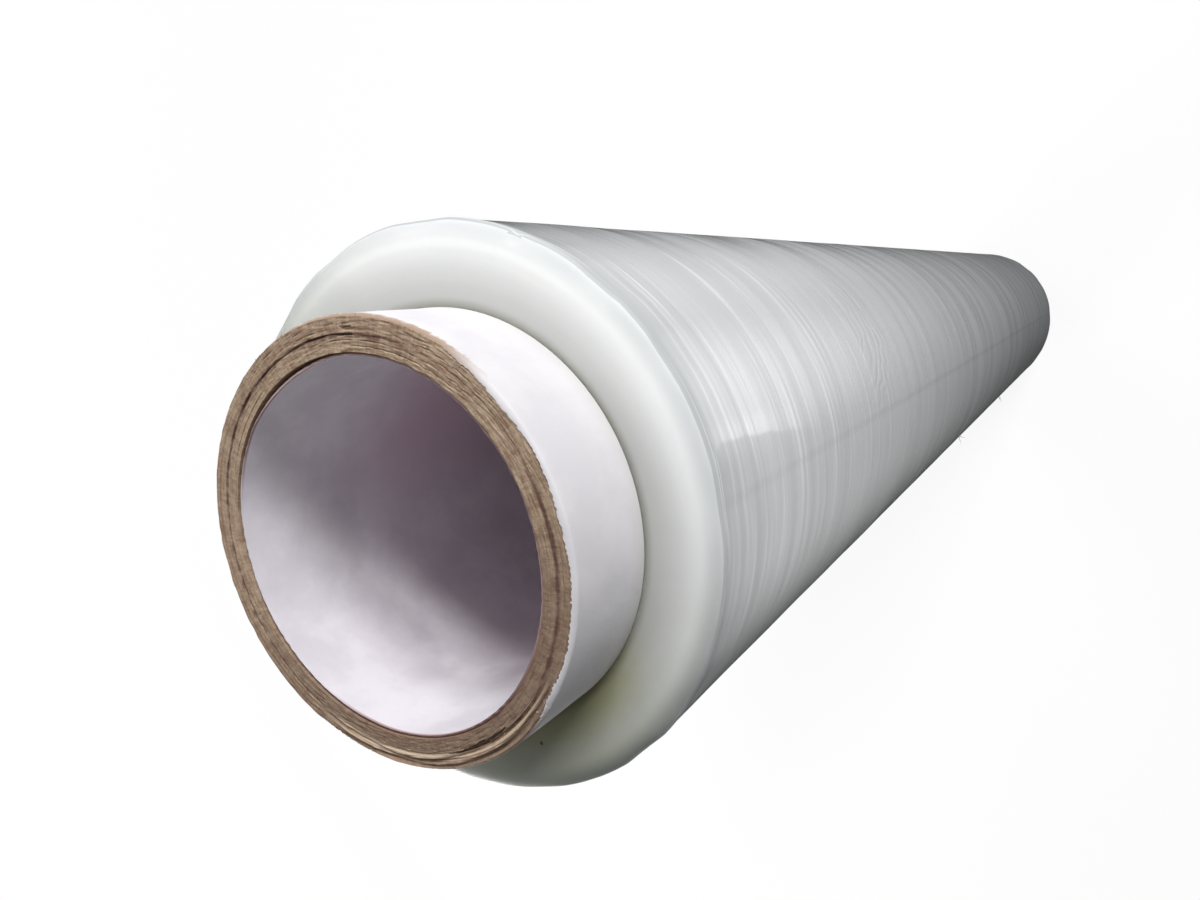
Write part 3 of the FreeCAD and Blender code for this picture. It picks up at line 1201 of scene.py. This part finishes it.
@dataclass
class Studio:
    """The pale floor, the lamps, the surroundings and the camera."""

    focal_length: float = 26.48
    place: tuple[float, float, float] = (0.0, -0.0885, 0.61025)
    right: tuple[float, float, float] = (-0.3586, -0.8185, -0.4488)
    up: tuple[float, float, float] = (0.9304, -0.2744, -0.2429)
    shift: tuple[float, float] = (-0.0587, 0.0528)
    floor_size: float = 40.0
    ambient: float = 0.15

    def camera(self) -> None:
        """Set up the camera where the photograph was taken from."""
        data = bpy.data.cameras.new("camera")
        data.lens = self.focal_length
        data.shift_x, data.shift_y = self.shift
        data.clip_start = 0.01
        camera = bpy.data.objects.new("camera", data)
        bpy.context.scene.collection.objects.link(camera)
        right = Vector(self.right).normalized()
        back = right.cross(Vector(self.up)).normalized()
        up = back.cross(right)
        turn = Matrix((right, up, back)).transposed()
        camera.matrix_world = Matrix.Translation(self.place) @ turn.to_4x4()
        bpy.context.scene.camera = camera

    def painted_floor_glow(self, sheet: NodeSheet) -> Socket:
        """Painted glow on the floor that the film's gloss sees: pale, with a bright pool and strip that stand in for
        reflected light.

        Args:
            sheet: The floor material's sheet.

        Returns:
            The brightness, where 1 is white.
        """
        around = around_axis(sheet)
        wide = sheet.between(around.radius, 0.04, 0.30, 0.05, 0.95)
        front = sheet.between(facing(sheet, around, -90.0), -0.75, 0.5, 0.08, 1.0)
        gloss_glow = sheet.times(wide, front)
        gloss_glow = sheet.math("MAXIMUM", gloss_glow, sheet.between(around.radius, 0.55, 1.2, 0.0, 0.8))
        far = sheet.add("ShaderNodeVectorMath", operation="DISTANCE")
        sheet.feed(far.inputs[0], around.place)
        far.inputs[1].default_value = (0.07, -0.34, 0)
        # Painted reflection: a bright pool and a thin strip of glow for the film's highlight.
        glow_pool = sheet.between(far.outputs["Value"], 0.23, 0.05, 0.0, 1.12)
        beyond = sheet.weighed((0.923, around.x), (0.385, around.y))
        beyond = sheet.plus(beyond, 0.1481)
        edge = sheet.between(beyond, -0.004, 0.006, 0.35, 1.0)
        glow_strip = sheet.between(beyond, 0.060, 0.010)
        glow_strip = sheet.times(glow_strip, sheet.between(beyond, 0.0, 0.006))
        glow_strip = sheet.times(glow_strip, sheet.between(around.radius, 0.20, 0.27, 0.0, 1.15))
        glow_strip = sheet.times(glow_strip, sheet.between(facing(sheet, around, -90.0), 0.6, 0.9))
        gloss_glow = sheet.times_plus(glow_pool, edge, gloss_glow)
        return sheet.plus(gloss_glow, glow_strip)

    def floor(self) -> None:
        """Lay a pale floor that the camera sees as white, with the roll's shadow on it, and with a painted glow that
        only the film's gloss sees.
        """
        start_clean()
        bpy.ops.mesh.primitive_plane_add(size=self.floor_size, location=(0, 0, 0))
        floor = bpy.context.object
        floor.name = "floor"
        material = bpy.data.materials.new("pale_floor")
        material.use_nodes = True
        material.node_tree.nodes.clear()
        sheet = NodeSheet(material.node_tree)
        path = sheet.add("ShaderNodeLightPath")
        matte = sheet.add("ShaderNodeBsdfDiffuse")
        white = sheet.add("ShaderNodeEmission")
        # Painted glow: an emission that only glossy rays see, reflected in the film as a pool and a strip of light.
        gloss_glow = sheet.add("ShaderNodeEmission")
        sheet.feed(gloss_glow.inputs["Strength"], self.painted_floor_glow(sheet))
        in_gloss = sheet.add("ShaderNodeMixShader")
        sheet.feed(in_gloss.inputs[0], path.outputs["Is Glossy Ray"])
        sheet.feed(in_gloss.inputs[1], matte.outputs[0])
        sheet.feed(in_gloss.inputs[2], gloss_glow.outputs[0])
        seen = sheet.math("MAXIMUM", path.outputs["Is Camera Ray"], path.outputs["Is Transmission Ray"])
        sheet.feed(matte.inputs["Color"], sheet.mix(seen, (0.35, 0.35, 0.35), (0.95, 0.95, 0.95)))
        mix = sheet.add("ShaderNodeMixShader")
        place = around_axis(sheet)
        far_white = sheet.between(place.radius, 0.2, 1.0, 0.86, 1.0)
        sheet.feed(mix.inputs[0], sheet.times(seen, far_white))
        sheet.feed(mix.inputs[1], in_gloss.outputs[0])
        sheet.feed(mix.inputs[2], white.outputs[0])
        sheet.feed(sheet.add("ShaderNodeOutputMaterial").inputs[0], mix.outputs[0])
        floor.data.materials.append(material)

    def lamp(self, name: str, angle: float, rise: float, away: float, size: float, power: float) -> None:
        """Hang one soft square lamp that faces the roll's upper end.

        Args:
            name: The lamp's name.
            angle: Its angle round the roll.
            rise: Its angle above the roll's upper end.
            away: Its distance from the roll's upper end, in metres.
            size: Side of its square, in metres.
            power: Its power in watts.
        """
        data = bpy.data.lights.new(name, "AREA")
        data.shape = "SQUARE"
        data.size = size
        data.energy = power
        lamp = bpy.data.objects.new(name, data)
        lamp.visible_camera = False
        bpy.context.scene.collection.objects.link(lamp)
        turn, lift = math.radians(angle), math.radians(rise)
        aim = Vector((0, 0, 0.532))
        way = Vector((math.cos(turn) * math.cos(lift), math.sin(turn) * math.cos(lift), math.sin(lift)))
        lamp.location = aim + way * away
        lamp.rotation_mode = "QUATERNION"
        lamp.rotation_quaternion = (-way).to_track_quat("-Z", "Y")

    def lamps(self) -> None:
        """Hang the lamps: a main one, a fill beside it, and one behind for the far side."""
        self.lamp("main_lamp", -49, 22, 1.5, 0.6, 28.5)
        self.lamp("fill_lamp", 30, 30, 1.2, 0.6, 5.0)
        self.lamp("back_lamp", 112, -12, 0.9, 0.5, 7.0)

    def world(self) -> None:
        """Surround the roll with a plain pale light that the camera sees as white."""
        world = bpy.data.worlds.new("surroundings")
        bpy.context.scene.world = world
        world.use_nodes = True
        world.node_tree.nodes.clear()
        sheet = NodeSheet(world.node_tree)
        path = sheet.add("ShaderNodeLightPath")
        seen = sheet.math("MAXIMUM", path.outputs["Is Camera Ray"], path.outputs["Is Transmission Ray"])
        seen = sheet.math("MAXIMUM", seen, path.outputs["Is Glossy Ray"])
        around = sheet.add("ShaderNodeBackground")
        around.inputs["Color"].default_value = (0.97, 0.98, 1.0, 1)
        around.inputs["Strength"].default_value = self.ambient
        white = sheet.add("ShaderNodeBackground")
        white.inputs["Color"].default_value = (1, 1, 1, 1)
        mix = sheet.add("ShaderNodeMixShader")
        sheet.feed(mix.inputs[0], seen)
        sheet.feed(mix.inputs[1], around.outputs[0])
        sheet.feed(mix.inputs[2], white.outputs[0])
        sheet.feed(sheet.add("ShaderNodeOutputWorld").inputs[0], mix.outputs[0])

    def build(self) -> None:
        """Set up the whole studio."""
        self.camera()
        self.floor()
        self.lamps()
        self.world()
        bpy.context.scene.view_settings.view_transform = "Standard"
        LOG.info("studio ready")


def build_core(effects: SharedEffects) -> None:
    """Build the core: the board, both paper plies and the torn fibres at its sawn end.

    Args:
        effects: The shared shader groups.
    """
    board = BoardFinish().build(effects)
    CoreBoard().build(board)
    paper = 0.4 * MM
    liner_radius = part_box("core_liner")[1].x
    lining = BoreFinish("liner_paper", (0.90, 0.865, 0.905), (0.80, 0.765, 0.81)).build(effects)
    liner = BoreLiner("bore_liner", "core_liner", "liner_paper", liner_radius - paper, liner_radius)
    liner.build(lining)
    ply_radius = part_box("core_outer_ply")[1].x
    white = OuterPlyFinish("outer_paper", (0.685, 0.67, 0.69), (0.64, 0.625, 0.65)).build(effects)
    ply = OuterPly("outer_paper_ply", "core_outer_ply", "outer_paper", ply_radius - paper, ply_radius)
    ply.build(white)
    build_fibres(effects)


def build_fibres(effects: SharedEffects) -> None:
    """Build the torn fibres at the sawn end and the loose threads of film.

    Args:
        effects: The shared shader groups.
    """
    tan = PaperFinish("torn_fibre", (0.58, 0.45, 0.33), (0.42, 0.30, 0.21), 1.5 * MM).build(effects)
    white = PaperFinish("torn_paper", (0.82, 0.80, 0.82), (0.76, 0.73, 0.75), 1.5 * MM).build(effects)
    thread = PaperFinish("loose_film", (0.20, 0.20, 0.20), (0.12, 0.12, 0.12), 1.5 * MM).build(effects)
    Slivers(
        "torn_gap_fibres", "board", 71, 70, (140.0, 200.0), (27.4 * MM, 28.9 * MM), (531.1 * MM, 531.6 * MM),
        (0.9 * MM, 2.8 * MM), 0.10 * MM, 0.96, 0.95,
    ).build(tan)
    Slivers(
        "nick_curl", "board", 74, 16, (-20.5, -13.5), (27.8 * MM, 28.6 * MM), (531.55 * MM, 531.75 * MM),
        (0.7 * MM, 1.5 * MM), 0.13 * MM, 0.94, 0.8,
    ).build(tan)
    Slivers(
        "sawn_edge_fuzz", "board", 72, 180, (-60.0, 60.0), (28.9 * MM, 29.7 * MM), (531.5 * MM, 531.75 * MM),
        (0.2 * MM, 0.6 * MM), 0.07 * MM, 0.85, 0.4,
    ).build(tan)
    Slivers(
        "outer_ply_fuzz", "outer_paper", 73, 420, (-150.0, -56.0), (29.2 * MM, 29.8 * MM), (531.5 * MM, 531.75 * MM),
        (0.35 * MM, 0.95 * MM), 0.09 * MM, 0.9, 0.4, (-1.0, 0.2),
    ).build(white)
    for name, seed, heights in (("upper", 81, (274 * MM, 281 * MM)), ("lower", 82, (158 * MM, 164 * MM))):
        Slivers(
            "loose_thread_" + name, "film", seed, 2, (-153.0, -151.0), (41.1 * MM, 41.25 * MM), heights,
            (2.2 * MM, 3.4 * MM), 0.14 * MM, 0.9, 0.3, (0.7, 1.0),
        ).build(thread)


def main() -> None:
    """Build the roll and the studio."""
    logging.basicConfig(level=logging.INFO, format="%(name)s: %(message)s")
    effects = SharedEffects()
    FilmRoll().build(FilmSideFinish().build(effects), FilmEndFinish().build(effects))
    build_core(effects)
    Studio().build()


if __name__ == "__main__":
    main()
